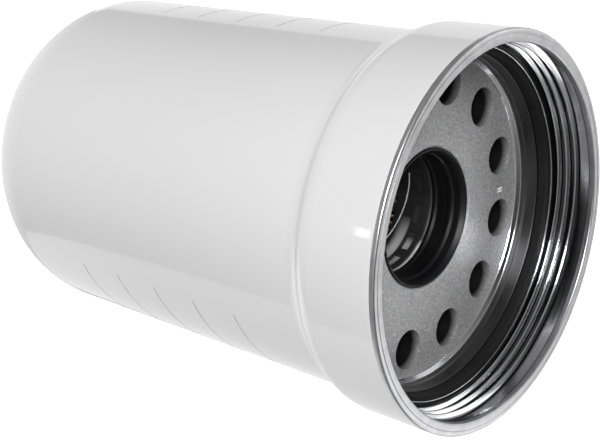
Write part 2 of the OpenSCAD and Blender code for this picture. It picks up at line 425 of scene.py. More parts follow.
def rules_tree():
    """Thin printed bands that run part of the way around a wall, one above the other."""
    tree = ShapeTree(
        "Printed rules",
        ("Radius", "Start", "Sweep", "Lowest", "Spacing", "Height", "Film"),
        ("Count",),
    )
    arc_values = {
        "Resolution": 200, "Radius": tree.size("Radius"),
        "Start Angle": tree.size("Start"), "Sweep Angle": tree.size("Sweep"),
    }
    curve = tree.add("GeometryNodeCurveArc", arc_values)
    upright = tree.add("GeometryNodeSetCurveNormal", {"Curve": curve.outputs[0]}, mode="Z_UP")
    film = {"Width": tree.size("Film"), "Height": tree.size("Height")}
    section = tree.add("GeometryNodeCurvePrimitiveQuadrilateral", film)
    band = tree.swept(upright, section, True)
    line = {
        "Count": tree.size("Count"), "Start Location": tree.vector(0.0, 0.0, tree.size("Lowest")),
        "Offset": tree.vector(0.0, 0.0, tree.size("Spacing")),
    }
    points = tree.add("GeometryNodeMeshLine", line)
    return tree.finish(tree.spread(points, band))


def holes_tree():
    """Drills a ring of holes with a small chamfer at their upper edge."""
    tree = ShapeTree(
        "Ring of holes",
        ("Hole radius", "Circle radius", "Top", "Depth", "Chamfer"),
        ("Count",),
        takes_mesh=True,
    )
    over = 0.0004
    drill = tree.add(
        "GeometryNodeMeshCylinder",
        {"Vertices": 64, "Radius": tree.size("Hole radius"), "Depth": tree.size("Depth")},
    )
    flare = tree.math("ADD", tree.size("Chamfer"), over)
    cone = {
        "Vertices": 48, "Radius Bottom": tree.math("SUBTRACT", tree.size("Hole radius"), over),
        "Radius Top": tree.math("ADD", tree.size("Hole radius"), flare),
        "Depth": tree.math("ADD", flare, over),
    }
    sink = tree.add("GeometryNodeMeshCone", cone)
    sink_z = tree.math("SUBTRACT", tree.math("SUBTRACT", tree.size("Top"), tree.size("Chamfer")), over)
    moved_sink = tree.raised(sink, sink_z)
    moved_drill = tree.raised(drill, tree.size("Top"))
    circle = {"Vertices": tree.size("Count"), "Radius": tree.size("Circle radius")}
    points = tree.add("GeometryNodeMeshCircle", circle)
    result = tree.size("Mesh")
    for cutter in (moved_drill, moved_sink):
        copies = {"Geometry": tree.spread(points, cutter)}
        tools = tree.add("GeometryNodeRealizeInstances", copies)
        cut = {"Mesh 1": result, "Mesh 2": tools.outputs[0]}
        result = tree.add("GeometryNodeMeshBoolean", cut, operation="DIFFERENCE").outputs[0]
    return tree.finish(result)


def perforated_tree():
    """A tube rolled from a sheet, with staggered rows of slots."""
    tree = ShapeTree(
        "Perforated tube",
        ("Radius", "Wall", "Low", "High"),
        ("Columns", "Rows", "Slot columns", "Slot rows", "Column cells", "Row cells"),
    )
    columns, rows = tree.size("Columns"), tree.size("Rows")
    across = tree.times(columns, tree.size("Column cells"))
    up = tree.times(rows, tree.size("Row cells"))
    grid_values = {
        "Size X": 1.0, "Size Y": 1.0,
        "Vertices X": tree.math("ADD", across, 1.0), "Vertices Y": tree.math("ADD", up, 1.0),
    }
    grid = tree.add("GeometryNodeMeshGrid", grid_values)
    place_of = tree.add("ShaderNodeSeparateXYZ", {0: tree.add("GeometryNodeInputPosition").outputs[0]})
    u = tree.math("ADD", place_of.outputs[0], 0.5)
    v = tree.math("ADD", place_of.outputs[1], 0.5)
    row_cell = tree.math("FLOOR", tree.times(v, up))
    row = tree.math("FLOOR", tree.math("DIVIDE", row_cell, tree.size("Row cells")))
    half_column = tree.math("DIVIDE", tree.size("Column cells"), 2.0)
    shift = tree.times(tree.math("MODULO", row, 2.0), half_column)
    column_cell = tree.math("FLOOR", tree.math("ADD", tree.times(u, across), shift))
    cell_in_column = tree.math("MODULO", column_cell, tree.size("Column cells"))
    in_column = tree.math("LESS_THAN", cell_in_column, tree.size("Slot columns"))
    first_slot = 3.0  # cells below the tube's top where the first row of slots starts
    raised_cell = tree.math("MODULO", tree.math("ADD", row_cell, first_slot), tree.size("Row cells"))
    in_row = tree.math("LESS_THAN", raised_cell, tree.size("Slot rows"))
    hole = tree.times(in_column, in_row)
    cut = {"Geometry": grid.outputs[0], "Selection": hole}
    sheet = tree.add("GeometryNodeDeleteGeometry", cut, domain="FACE")
    thick = {"Mesh": sheet.outputs[0], "Offset": (0.0, 0.0, 1.0), "Offset Scale": 1.0, "Individual": False}
    raised = tree.add("GeometryNodeExtrudeMesh", thick, mode="FACES")
    floor_side = tree.add("GeometryNodeFlipFaces", {"Mesh": sheet.outputs[0]})
    both = tree.add("GeometryNodeJoinGeometry", {0: raised.outputs[0]})
    tree.tree.links.new(floor_side.outputs[0], both.inputs[0])
    angle = tree.times(u, 2 * math.pi)
    depth = tree.math("MULTIPLY_ADD", place_of.outputs[2], tree.size("Wall"), tree.size("Radius"))
    rise = tree.rise()
    rolled = tree.vector(
        tree.times(depth, tree.math("COSINE", angle)),
        tree.times(depth, tree.math("SINE", angle)),
        tree.math("MULTIPLY_ADD", v, rise, tree.size("Low")),
    )
    tube = tree.add("GeometryNodeSetPosition", {"Geometry": both.outputs[0], "Position": rolled})
    merged = tree.add("GeometryNodeMergeByDistance", {"Geometry": tube.outputs[0], "Distance": MERGE})
    return tree.finish(merged.outputs[0])


def pleats_tree():
    """Paper folded to and fro between two radii, as one closed band."""
    tree = ShapeTree(
        "Pleats",
        ("Inner radius", "Outer radius", "Low", "High", "Paper"),
        ("Folds",),
    )
    steps = 10
    circle = tree.add(
        "GeometryNodeCurvePrimitiveCircle",
        {"Resolution": tree.times(tree.size("Folds"), float(steps)), "Radius": 1.0},
    )
    index = tree.add("GeometryNodeInputIndex").outputs[0]
    phase = tree.math("DIVIDE", tree.math("MODULO", index, float(steps)), float(steps))
    fold = tree.math("PINGPONG", tree.times(phase, 2.0), 1.0)
    tip = tree.rising(fold, 0.12, 0.88)
    reach = tree.math("SUBTRACT", tree.size("Outer radius"), tree.size("Inner radius"))
    radius = tree.math("MULTIPLY_ADD", tip, reach, tree.size("Inner radius"))
    here = tree.add("GeometryNodeInputPosition").outputs[0]
    scaled = tree.add("ShaderNodeVectorMath", {0: here}, operation="SCALE")
    tree.tree.links.new(radius, scaled.inputs["Scale"])
    middle = tree.times(tree.math("ADD", tree.size("High"), tree.size("Low")), 0.5)
    lifted = tree.add("ShaderNodeVectorMath", {0: scaled.outputs[0], 1: tree.vector(0.0, 0.0, middle)})
    folded = {"Geometry": circle.outputs[0], "Position": lifted.outputs[0]}
    curve = tree.add("GeometryNodeSetPosition", folded)
    upright = tree.add("GeometryNodeSetCurveNormal", {"Curve": curve.outputs[0]}, mode="Z_UP")
    paper = {"Width": tree.size("Paper"), "Height": tree.rise()}
    section = tree.add("GeometryNodeCurvePrimitiveQuadrilateral", paper)
    return tree.finish(tree.swept(upright, section, False))


# ---------------------------------------------------------------- shared surface effects


def effect(name, inputs, outputs):
    """A shader node group with named inputs and outputs, and the writer that fills it."""
    group = bpy.data.node_groups.new(name, "ShaderNodeTree")
    for label, value in inputs.items():
        socket = group.interface.new_socket(label, in_out="INPUT", socket_type="NodeSocketFloat")
        socket.default_value = value
    for label in outputs:
        group.interface.new_socket(label, in_out="OUTPUT", socket_type="NodeSocketFloat")
    return group, NodeWriter(group), group.nodes.new("NodeGroupInput"), group.nodes.new("NodeGroupOutput")


def turning_marks(name):
    """Fine lathe lines around the axis, and broader streaks along them."""
    group, write, given, out = effect(name, {"Line pitch": 0.0003}, ("Height", "Streak"))
    x, y, z = write.place()
    radius = write.math("SQRT", write.squared_radius(x, y))
    safe = write.math("MAXIMUM", radius, 0.001)
    east, north = write.math("DIVIDE", x, safe), write.math("DIVIDE", y, safe)
    for label, coarse, turn in (("Height", 1.0, 0.5), ("Streak", 0.22, 1.6)):
        scale = write.math("DIVIDE", coarse, given.outputs["Line pitch"])
        along = write.vector(
            write.times(radius, scale),
            write.times(z, scale),
            write.times(east, turn),
        )
        noise = write.add(
            "ShaderNodeTexNoise",
            {"Vector": along, "W": write.times(north, turn), "Scale": 1.0, "Detail": 3.0},
            noise_dimensions="4D",
        )
        group.links.new(noise.outputs[0], out.inputs[label])
    return group


def grain(name):
    """Even fine grain, and sparse bright specks in it."""
    group, write, given, out = effect(name, {"Scale": 2000.0}, ("Height", "Specks"))
    spot = write.add("ShaderNodeTexCoord").outputs["Object"]
    fine = write.add("ShaderNodeTexNoise", {"Vector": spot, "Scale": given.outputs["Scale"], "Detail": 4.0})
    group.links.new(fine.outputs[0], out.inputs["Height"])
    cells = write.add(
        "ShaderNodeTexNoise",
        {"Vector": spot, "Scale": write.times(given.outputs["Scale"], 0.8), "Detail": 1.0},
    )
    specks = write.rising(cells.outputs[0], 0.56, 0.70)
    group.links.new(specks, out.inputs["Specks"])
    return group


def patches(name):
    """Soft uneven patches, for handling marks, oil film and dust."""
    group, write, given, out = effect(name, {"Scale": 40.0}, ("Patches",))
    spot = write.add("ShaderNodeTexCoord").outputs["Object"]
    noise = write.add("ShaderNodeTexNoise", {"Vector": spot, "Scale": given.outputs["Scale"], "Detail": 3.0})
    group.links.new(write.rising(noise.outputs[0], 0.25, 0.75), out.inputs["Patches"])
    return group


EFFECTS = {"Turning marks": turning_marks, "Grain": grain, "Patches": patches}


# ---------------------------------------------------------------- finishes


class Finish(NodeWriter):
    """A material around one Principled BSDF."""

    def __init__(self, name, constants):
        self.material = bpy.data.materials.new(name + "_finish")
        self.material.use_nodes = True
        super().__init__(self.material.node_tree)
        self.surface = self.tree.nodes["Principled BSDF"]
        for label, value in constants.items():
            self.surface.inputs[label].default_value = value

    def group(self, name, value):
        """Places a shared effect, made on its first use, with its own scale or pitch."""
        tree = bpy.data.node_groups.get(name) or EFFECTS[name](name)
        node = self.add("ShaderNodeGroup", node_tree=tree)
        node.inputs[0].default_value = value
        return node

    def grain(self, scale):
        """The height of the shared grain."""
        return self.group("Grain", scale).outputs["Height"]

    def patches(self, scale):
        """The shared patches."""
        return self.group("Patches", scale).outputs[0]

    def feed(self, label, value):
        """Links a varying value to the surface."""
        self.tree.links.new(value, self.surface.inputs[label])

    def ended(self, colour, rough, normal):
        """Feeds the surface's three varying values and returns the material."""
        self.feed("Base Color", colour)
        self.feed("Roughness", rough)
        self.feed("Normal", normal)
        return self.material

    def blend(self, factor, first, second):
        """Mixes two colours, or sockets, by a factor."""
        values = {"Factor": factor, 6: first, 7: second}
        return self.add("ShaderNodeMix", values, data_type="RGBA").outputs[2]

    def between(self, value, start, low, high, end):
        """A mask that is 1 from low to high and falls to 0 at start and end."""
        rising = self.rising(value, start, low)
        return self.times(rising, self.falling(value, high, end))

    def bump(self, height, distance, strength=1.0, under=None):
        """A Bump node fed by a height. Returns its normal."""
        values = {"Height": height, "Distance": distance, "Strength": strength}
        if under is not None:
            values["Normal"] = under
        return self.add("ShaderNodeBump", values).outputs[0]


def shade(rgb, gain):
    """A colour made lighter or darker, with alpha."""
    return (*(min(1.0, c * gain) for c in rgb), 1.0)


def can_paint():
    """Gloss paint with faint orange peel and handling marks."""
    tint = bpy.context.scene.filter_colours.paint
    finish = Finish("can_paint", {"Coat Weight": 0.6, "Coat Roughness": 0.06, "Coat IOR": 1.5})
    marks = finish.patches(14.0)
    peel = finish.grain(520.0)
    return finish.ended(
        finish.blend(marks, shade(tint, 0.985), shade(tint, 1.015)),
        finish.span(marks, 0.0, 1.0, 0.29, 0.36),
        finish.bump(peel, 0.000004, 0.3),
    )


def print_ink():
    """Slightly broken printed ink."""
    tint = bpy.context.scene.filter_colours.print_ink
    finish = Finish("print_ink", {"Coat Weight": 0.3, "Coat Roughness": 0.1})
    wear = finish.group("Grain", 1800.0)
    finish.feed("Base Color", finish.blend(wear.outputs["Specks"], shade(tint, 1.0), shade(tint, 2.2)))
    finish.feed("Roughness", finish.span(wear.outputs["Height"], 0.3, 0.7, 0.3, 0.5))
    return finish.material


def lip_steel():
    """Bare turned steel with lathe lines and oily blotches, with painted shade on its underside in the seam.
    """
    tint = bpy.context.scene.filter_colours.steel
    finish = Finish("lip_steel", {"Metallic": 1.0})
    lines = finish.group("Turning marks", 0.00025)
    film = finish.patches(240.0)
    streaks = finish.blend(lines.outputs["Streak"], shade(tint, 0.68), shade(tint, 1.02))
    filmed = finish.blend(finish.times(film, 0.6), streaks, shade(tint, 0.55))
    # Painted shade: the lip's underside below RIM - 1.6 mm goes near black
    under = finish.falling(finish.place()[2], (RIM - 1.75) * MM, (RIM - 1.6) * MM)
    return finish.ended(
        finish.blend(under, filmed, shade(tint, 0.03)),
        finish.span(lines.outputs["Streak"], 0.3, 0.7, 0.29, 0.40),
        finish.bump(lines.outputs["Height"], 0.00001),
    )


def thread_steel():
    """Turned steel, bright on the crests, with painted shade in the roots and on the gasket's seat."""
    tint = bpy.context.scene.filter_colours.steel
    s = sizes()
    finish = Finish("thread_steel", {"Metallic": 1.0})
    lines = finish.group("Turning marks", 0.00022)
    x, y, z = finish.place()
    radius = finish.math("SQRT", finish.squared_radius(x, y))
    # Masks by radius and height for the painted shade: thread roots, the ledge under them, and the gasket's
    # seat
    root = finish.rising(radius, s.root_radius - 0.0007, s.root_radius - 0.0004)
    below = finish.falling(z, (RIM - 6.0) * MM, (RIM - 5.0) * MM)
    above = finish.rising(z, (RING_LOW + 1.3) * MM, (RING_LOW + 1.7) * MM)
    ledge = finish.falling(z, (RIM - 13.9) * MM, (RIM - 13.7) * MM)
    edge = finish.rising(radius, 0.05372, 0.05392)
    seat = finish.falling(z, (RIM - 14.9) * MM, (RIM - 14.7) * MM)
    shelf = finish.math("MAXIMUM", finish.times(ledge, edge), seat)
    painted_shade = finish.math("MAXIMUM", finish.times(root, below), shelf)
    dark = finish.times(painted_shade, above)
    streaks = finish.blend(lines.outputs["Streak"], shade(tint, 0.7), shade(tint, 1.45))
    # Painted shade: the masked roots, ledge edge and seat go near black
    finish.feed("Base Color", finish.blend(dark, streaks, shade(tint, 0.16)))
    rough = finish.span(lines.outputs["Streak"], 0.3, 0.7, 0.09, 0.17)
    finish.feed("Roughness", finish.math("MULTIPLY_ADD", finish.times(seat, above), 0.24, rough))
    finish.feed("Normal", finish.bump(lines.outputs["Height"], 0.000008))
    return finish.material


def plate_steel():
    """Blasted plate steel: fine grain, bright specks and burnished smears, with painted shade down the holes.
    """
    tint = bpy.context.scene.filter_colours.plate
    finish = Finish("plate_steel", {"Metallic": 0.55})
    skin = finish.group("Grain", 1500.0)
    lines = finish.group("Turning marks", 0.0009)
    marks = finish.patches(34.0)
    tone = finish.blend(marks, shade(tint, 0.8), shade(tint, 1.2))
    grainy = finish.blend(finish.rising(skin.outputs["Height"], 0.35, 0.65), tone, shade(tint, 1.5))
    wear_and_highlight = finish.times(skin.outputs["Specks"], finish.span(marks, 0.2, 0.9, 0.1, 0.9))
    # Painted shade: the hole walls and everything below the face go near black
    depth = finish.falling(finish.place()[2], (PLATE_TOP - 3.2) * MM, (PLATE_TOP - 0.3) * MM)
    face = finish.blend(wear_and_highlight, grainy, shade(tint, 2.3))
    finish.feed("Base Color", finish.blend(depth, face, shade(tint, 0.03)))
    finish.feed("Roughness", finish.span(marks, 0.0, 1.0, 0.56, 0.40))
    coarse = finish.bump(skin.outputs["Height"], 0.00008)
    finish.feed("Normal", finish.bump(lines.outputs["Height"], 0.00002, 0.6, coarse))
    return finish.material


def rubber(name, gain, rough):
    """Moulded black rubber with a fine skin and a little dust."""
    tint = bpy.context.scene.filter_colours.rubber
    finish = Finish(name, {"Specular IOR Level": 0.25})
    skin = finish.group("Grain", 2600.0)
    dust = finish.patches(90.0)
    return finish.ended(
        finish.blend(dust, shade(tint, gain), shade(tint, gain * 1.7)),
        finish.span(dust, 0.0, 1.0, rough * 0.85, rough * 1.15),
        finish.bump(skin.outputs["Height"], 0.000012, 0.6),
    )


def plated_steel(name, tint, rough, metal=1.0):
    """Rolled and plated sheet, with a faint spangle."""
    finish = Finish(name, {"Metallic": metal})
    spot = finish.add("ShaderNodeTexCoord").outputs["Object"]
    spangle = finish.add("ShaderNodeTexVoronoi", {"Vector": spot, "Scale": 240.0})
    tone = finish.add("ShaderNodeSeparateColor", {0: spangle.outputs["Color"]}).outputs[0]
    skin = finish.grain(1900.0)
    return finish.ended(
        finish.blend(tone, shade(tint, 0.85), shade(tint, 1.12)),
        finish.span(tone, 0.0, 1.0, rough * 0.8, rough * 1.2),
        finish.bump(skin, 0.00001),
    )


def oily_steel(finish, mask, film_scale, darks, bright, rough):
    """Ends an oily dark sheet that is bright where the mask is 1."""
    skin = finish.grain(1900.0)
    dark = finish.blend(finish.patches(film_scale), *darks)
    return finish.ended(
        finish.blend(mask, dark, bright), finish.span(skin, 0.3, 0.7, *rough), finish.bump(skin, 0.00001)
    )


def tube_steel():
    """Oily dark sheet with a painted highlight: a bright band near its top, on one side."""
    finish = Finish("tube_steel", {"Metallic": 0.45})
    x, y, z = finish.place()
    # Painted highlight: a near-white band near the top, bright only towards +x
    band = finish.between(z, 0.1352, 0.1375, 0.1393, 0.1400)
    wear_and_highlight = finish.times(band, finish.rising(x, 0.003, 0.0135))
    darks = ((0.020, 0.020, 0.021, 1.0), (0.045, 0.045, 0.046, 1.0))
    return oily_steel(finish, wear_and_highlight, 120.0, darks, (0.92, 0.92, 0.92, 1.0), (0.30, 0.42))


def cap_steel():
    """Oily dark sheet with a painted highlight on one side of the hub."""
    finish = Finish("cap_steel", {"Metallic": 0.6})
    x, y, z = finish.place()
    near_axis = finish.falling(finish.squared_radius(x, y), 0.0215**2, 0.0220**2)
    hub = finish.times(near_axis, finish.rising(z, 0.138, 0.139))
    # Painted highlight: the hub is bright towards +x
    hub_highlight = finish.times(finish.rising(x, 0.0095, 0.0120), hub)
    darks = ((0.04, 0.04, 0.04, 1.0), (0.08, 0.08, 0.08, 1.0))
    return oily_steel(finish, hub_highlight, 60.0, darks, (0.75, 0.75, 0.75, 1.0), (0.34, 0.46))


def filter_paper():
    """Resin-cured paper with a fibrous grain."""
    tint = bpy.context.scene.filter_colours.paper
    finish = Finish("filter_paper", {"Specular IOR Level": 0.25})
    fibre = finish.grain(1300.0)
    marks = finish.patches(70.0)
    tone = finish.blend(marks, shade(tint, 0.9), shade(tint, 1.08))
    return finish.ended(
        finish.blend(finish.times(fibre, 0.3), tone, shade(tint, 0.7)),
        finish.span(fibre, 0.3, 0.7, 0.75, 0.95),
        finish.bump(fibre, 0.00006),
    )


def cured(name, tint, rough):
    """Set adhesive or glued fibre, slightly uneven."""
    finish = Finish(name, {})
    lumps = finish.patches(120.0)
    return finish.ended(
        finish.blend(lumps, shade(tint, 0.9), shade(tint, 1.05)),
        finish.span(lumps, 0.0, 1.0, rough, rough * 1.3),
        finish.bump(lumps, 0.0001, 0.5),
    )


RECIPES = {
    "can_paint": can_paint,
    "print_ink": print_ink,
    "lip_steel": lip_steel,
    "thread_steel": thread_steel,
    "plate_steel": plate_steel,
    "gasket_rubber": lambda: rubber("gasket_rubber", 1.0, 0.62),
    "seal_rubber": lambda: rubber("seal_rubber", 0.8, 0.42),
    "valve_rubber": lambda: rubber("valve_rubber", 0.8, 0.6),
    "plated_steel": lambda: plated_steel("plated_steel", (0.62, 0.60, 0.52), 0.30),
    # The seam ridge is real; its near-white colour is a painted highlight along it
    "seam_steel": lambda: plated_steel("seam_steel", (0.92, 0.92, 0.90), 0.30, 0.3),
    "cap_steel": cap_steel,
    "tube_steel": tube_steel,
    "spring_steel": lambda: plated_steel("spring_steel", (0.30, 0.30, 0.31), 0.32),
    "filter_paper": filter_paper,
    "adhesive": lambda: cured("adhesive", (0.72, 0.66, 0.50), 0.42),
    # The punch marks' pale colour is a painted highlight
    "mark_paint": lambda: cured("mark_paint", (0.92, 0.92, 0.92), 0.4),
    "band_fibre": lambda: cured("band_fibre", (0.78, 0.76, 0.68), 0.6),
}


def finish_named(name):
    """The material of that name, made on its first use."""
    return bpy.data.materials.get(name + "_finish") or RECIPES[name]()


# ---------------------------------------------------------------- pieces


def can_side(inset):
    """One side of the canister's sheet, from the axis up to the collar; inset is 0 outside."""
    s = sizes()
    wall, knuckle = s.wall_radius / MM, s.knuckle / MM
    out, up = (COLLAR_R - wall) / 2, s.shoulder / MM / 2
    bend = (out * out + up * up) / (2 * out)
    tilt = math.degrees(math.asin(up / bend))
    low = RIM - s.collar / MM - s.shoulder / MM
    high = RIM - s.collar / MM
    return (
        [(0.0, inset)]
        + arc(wall - knuckle, knuckle, knuckle - inset, -90, 0, 28)
        + arc(wall + bend, low, bend + inset, 180, 180 - tilt, 10)
        + arc(COLLAR_R - bend, high, bend - inset, -tilt, 0, 10)
    )


class OILFILTER_OT_canister(bpy.types.Operator):
    """Build the painted canister"""

    bl_idname = "oilfilter.canister"
    bl_label = "Canister"

    def execute(self, context):
        wall = sizes().wall / MM
        edge = RIM - LIP_FOOT
        inside = COLLAR_R - wall
        top = filleted(
            [(COLLAR_R, edge - 1, 0), (COLLAR_R, edge, 0.12), (inside, edge, 0), (inside, edge - 1, 0)]
        )
        outline = can_side(0.0) + top + can_side(wall)[::-1]
        turned_piece("canister_shell", outline, "can_paint", "canister")
        return {"FINISHED"}


class OILFILTER_OT_lip(bpy.types.Operator):
    """Build the bare rolled lip of the rim"""

    bl_idname = "oilfilter.lip"
    bl_label = "Rolled lip"

    def execute(self, context):
        s = sizes()
        inner, thick, wall = s.lip_radius / MM, s.lip / MM, s.wall / MM
        foot, cover, notch = RIM - LIP_FOOT, COLLAR_R - wall, 0.16
        seam = cover - 0.1  # where the rolled edge meets the ring, seen as a fine groove
        outline = filleted(
            [
                (COLLAR_R, foot, 0), (COLLAR_R, RIM, 1.1), (seam + notch, RIM, 0.05),
                (seam, RIM - notch, 0.03), (seam - notch, RIM, 0.05), (inner, RIM, 0.55),
                (inner, RIM - thick, 0.2), (cover, RIM - thick, 0), (cover, foot, 0),
            ],
            steps=6,
        )
        turned_piece("rolled_lip", outline, "lip_steel", "canister")
        return {"FINISHED"}


class OILFILTER_OT_rules(bpy.types.Operator):
    """Print the plain rules that run around the canister's far side"""

    bl_idname = "oilfilter.rules"
    bl_label = "Printed rules"

    def execute(self, context):
        s = sizes()
        start, sweep = math.radians(-51.3), math.radians(255.4)
        lowest, film, count = 0.0541, 0.00004, 5
        ink = finish_named("print_ink")
        values = {
            "Radius": s.wall_radius, "Start": start, "Sweep": sweep, "Lowest": lowest,
            "Spacing": s.rule_gap, "Count": count, "Height": s.rule_height, "Film": film,
            "Material": ink,
        }
        mesh = outward(grown_mesh("printed_rules", rules_tree(), values))
        place("printed_rules", mesh, ink, "housing")
        return {"FINISHED"}


class OILFILTER_OT_adapter(bpy.types.Operator):
    """Build the adapter ring and the helical thread cut in it"""

    bl_idname = "oilfilter.adapter"
    bl_label = "Adapter ring and thread"

    def execute(self, context):
        s = sizes()
        root, crest = s.root_radius / MM, s.crest_radius / MM
        outer = radii_mm("thread_ring")[1]
        # The land under the thread, the gasket's groove, and the step below it
        ledge, groove, step = RIM - 14.1, RIM - 18.5, RIM - 22.3
        # Radii of the ledge's edge, the groove's wall, the land behind the gasket, and the bore
        edge, pocket, land, bore = 53.6, 56.2, 51.6, 51.0
        outline = filleted(
            [
                (outer, RING_HIGH, 0), (root, RING_HIGH, 0.3), (root, ledge + 0.25, 0.2),
                (crest + 0.5, ledge + 0.05, 0.2), (crest, ledge, 0.15), (edge, ledge - 0.05, 0.2),
                (edge, ledge - 0.8, 0.1), (pocket, ledge - 0.8, 0.2), (pocket, groove, 0.2),
                (land, groove, 0.25), (land, step, 0.12), (bore, step - 0.5, 0.12),
                (bore, RING_LOW + 1.25, 0.25), (49.95, RING_LOW + 0.3, 0.12), (49.8, RING_LOW, 0),
                (outer - 1, RING_LOW, 0), (outer, RING_LOW + 3.5, 0),
            ],
            steps=5,
        )
        turned_piece("adapter_ring", outline, "thread_steel", "thread_ring")
        steel = finish_named("thread_steel")
        place("collar_thread", self.thread(), steel, "housing", ("thread_ring",))
        return {"FINISHED"}

    def thread(self):
        """A right-hand ridge that climbs the ring's wall and fades out at both ends."""
        s = sizes()
        root, crest, pitch = s.root_radius, s.crest_radius, s.pitch
        turns, steps, fade = 2.95, 180, 0.14
        flank = math.radians(30)
        half_crest = 0.00020
        half_base = half_crest + (root - crest) * math.tan(flank)
        start_turn = math.radians(94.5)
        middle = (RIM - 9.85) * MM

        def section(done, left):
            stub = 0.01  # keeps the ridge's ends from closing to a line
            fade_in = min(1.0, (done + stub) / fade, (left + stub) / fade)
            depth = (root - crest) * math.sin(fade_in * math.pi / 2)
            upper = [
                (root + OVERLAP, half_base), (root - depth * 0.88, half_crest + depth * 0.12),
                (root - depth * 0.97, half_crest * 0.95), (root - depth, half_crest * 0.6),
            ]
            return upper + [(r, -h) for r, h in reversed(upper)]

        return wound_ridge("collar_thread", section, turns, steps, pitch, middle, start_turn)


class OILFILTER_OT_gasket(bpy.types.Operator):
    """Build the main gasket"""

    bl_idname = "oilfilter.gasket"
    bl_label = "Main gasket"

    def execute(self, context):
        low, high = heights_mm("main_gasket")
        inner, outer = radii_mm("main_gasket")
        outline = filleted(
            [(inner, low, 0.5), (outer, low, 0.3), (outer, high, 0.3), (inner, high, 0.55)], steps=6
        )
        turned_piece("gasket_ring", outline, "gasket_rubber", "main_gasket")
        return {"FINISHED"}


class OILFILTER_OT_plate(bpy.types.Operator):
    """Build the flow plate with its ring of chamfered holes"""

    bl_idname = "oilfilter.plate"
    bl_label = "Flow plate"

    def execute(self, context):
        s = sizes()
        bore, outer = radii_mm("flow_plate")
        under, hub = PLATE_TOP - 7.0, 25.0
        steel = finish_named("plate_steel")
        outline = filleted(
            [
                (bore, PLATE_LOW, 0.3), (hub, PLATE_LOW, 0.4), (hub, under, 0.5),
                (outer, under, 0.6), (outer, PLATE_TOP, 0.3), (bore + 0.95, PLATE_TOP, 0.12),
                (bore, PLATE_TOP - 0.9, 0.12),
            ]
        )
        start = turned_mesh("inlet_plate_start", outline)
        values = {
            "Hole radius": s.hole_radius, "Circle radius": s.hole_circle, "Count": s.hole_count,
            "Top": PLATE_TOP * MM, "Depth": 0.03, "Chamfer": 0.00016, "Material": steel,
        }
        mesh = grown_mesh("inlet_plate", holes_tree(), values, start)
        smooth(mesh, 25)
        place("inlet_plate", mesh, steel, "housing", ("flow_plate",))
        return {"FINISHED"}


class OILFILTER_OT_punch_marks(bpy.types.Operator):
    """Raise the two short dashes punched into the flow plate"""

    bl_idname = "oilfilter.punch_marks"
    bl_label = "Punch marks"

    def execute(self, context):
        shape = bmesh.new()
        turn, reach, apart = math.radians(103.5), 40.2, 0.45
        length, width = 1.2, 0.26  # half of each
        sunk, proud, taper = -0.2, 0.12, 0.08
        out = Vector((math.cos(turn), math.sin(turn), 0))
        along = Vector((-math.sin(turn), math.cos(turn), 0))
        for side in (-apart, apart):
            centre = out * reach + along * side
            corners = []
            for height, inset in ((sunk, 0.0), (proud, taper)):
                for a, b in ((-1, -1), (1, -1), (1, 1), (-1, 1)):
                    spot = centre + out * a * (length - inset) + along * b * (width - inset)
                    corners.append(shape.verts.new((spot.x * MM, spot.y * MM, (PLATE_TOP + height) * MM)))
            low, high = corners[:4], corners[4:]
            shape.faces.new(low[::-1])
            shape.faces.new(high)
            for i in range(4):
                j = (i + 1) % 4
                shape.faces.new((low[i], low[j], high[j], high[i]))
        mesh = closed_mesh("punch_marks", shape)
        # The dashes' pale colour is a painted highlight
        place("punch_marks", mesh, finish_named("mark_paint"), "housing")
        return {"FINISHED"}


class OILFILTER_OT_bore_seal(bpy.types.Operator):
    """Build the ribbed rubber seal in the plate's bore"""

    bl_idname = "oilfilter.bore_seal"
    bl_label = "Bore seal"

    def execute(self, context):
        low, high = heights_mm("bore_seal")
        rib, wall = 19.4, 20.0
        flange, sleeve = radii_mm("bore_seal")[1], 21.6
        ribs = []
        for top in (RIM - 30.4, low + 1.2):
            ribs += [(wall, top + 0.6, 0.3), (rib, top, 0.3), (rib, top - 1.2, 0.3), (wall, top - 1.8, 0.3)]
        outline = filleted(
            [(sleeve, high, 0.15), (21.0, high, 0.3), (wall, high - 1.6, 1.5)]
            + ribs[:-1]
            + [(flange, low, 0.3), (flange, low + 2, 0.3), (sleeve, low + 2, 0.2)],
            steps=5,
        )
        turned_piece("spigot_seal", outline, "seal_rubber", "bore_seal")
        return {"FINISHED"}


class OILFILTER_OT_drainback(bpy.types.Operator):
    """Build the rubber dish behind the inlet holes"""

    bl_idname = "oilfilter.drainback"
    bl_label = "Anti-drainback valve"

    def execute(self, context):
        top = heights_mm("anti_drainback_valve")[1]
        inner, lip = radii_mm("anti_drainback_valve")
        skin, bead, thick = 1.1, 28.6, 1.8
        valley, dip = 32.0, top - 1.9
        outline = filleted(
            [
                (inner, top, 0.2), (bead, top, 0.3), (bead, top - 0.7, 0.3), (valley, dip, 1.0),
                (lip - 5, top - 1.2, 2.0), (lip, top, 0.2), (lip, top - skin, 0.3),
                (lip - 5, top - 1.2 - skin, 2.0), (valley, dip - skin, 1.0),
                (bead, top - thick, 0.3), (inner, top - thick, 0.2),
            ]
        )
        turned_piece("drainback_dish", outline, "valve_rubber", "anti_drainback_valve")
        return {"FINISHED"}


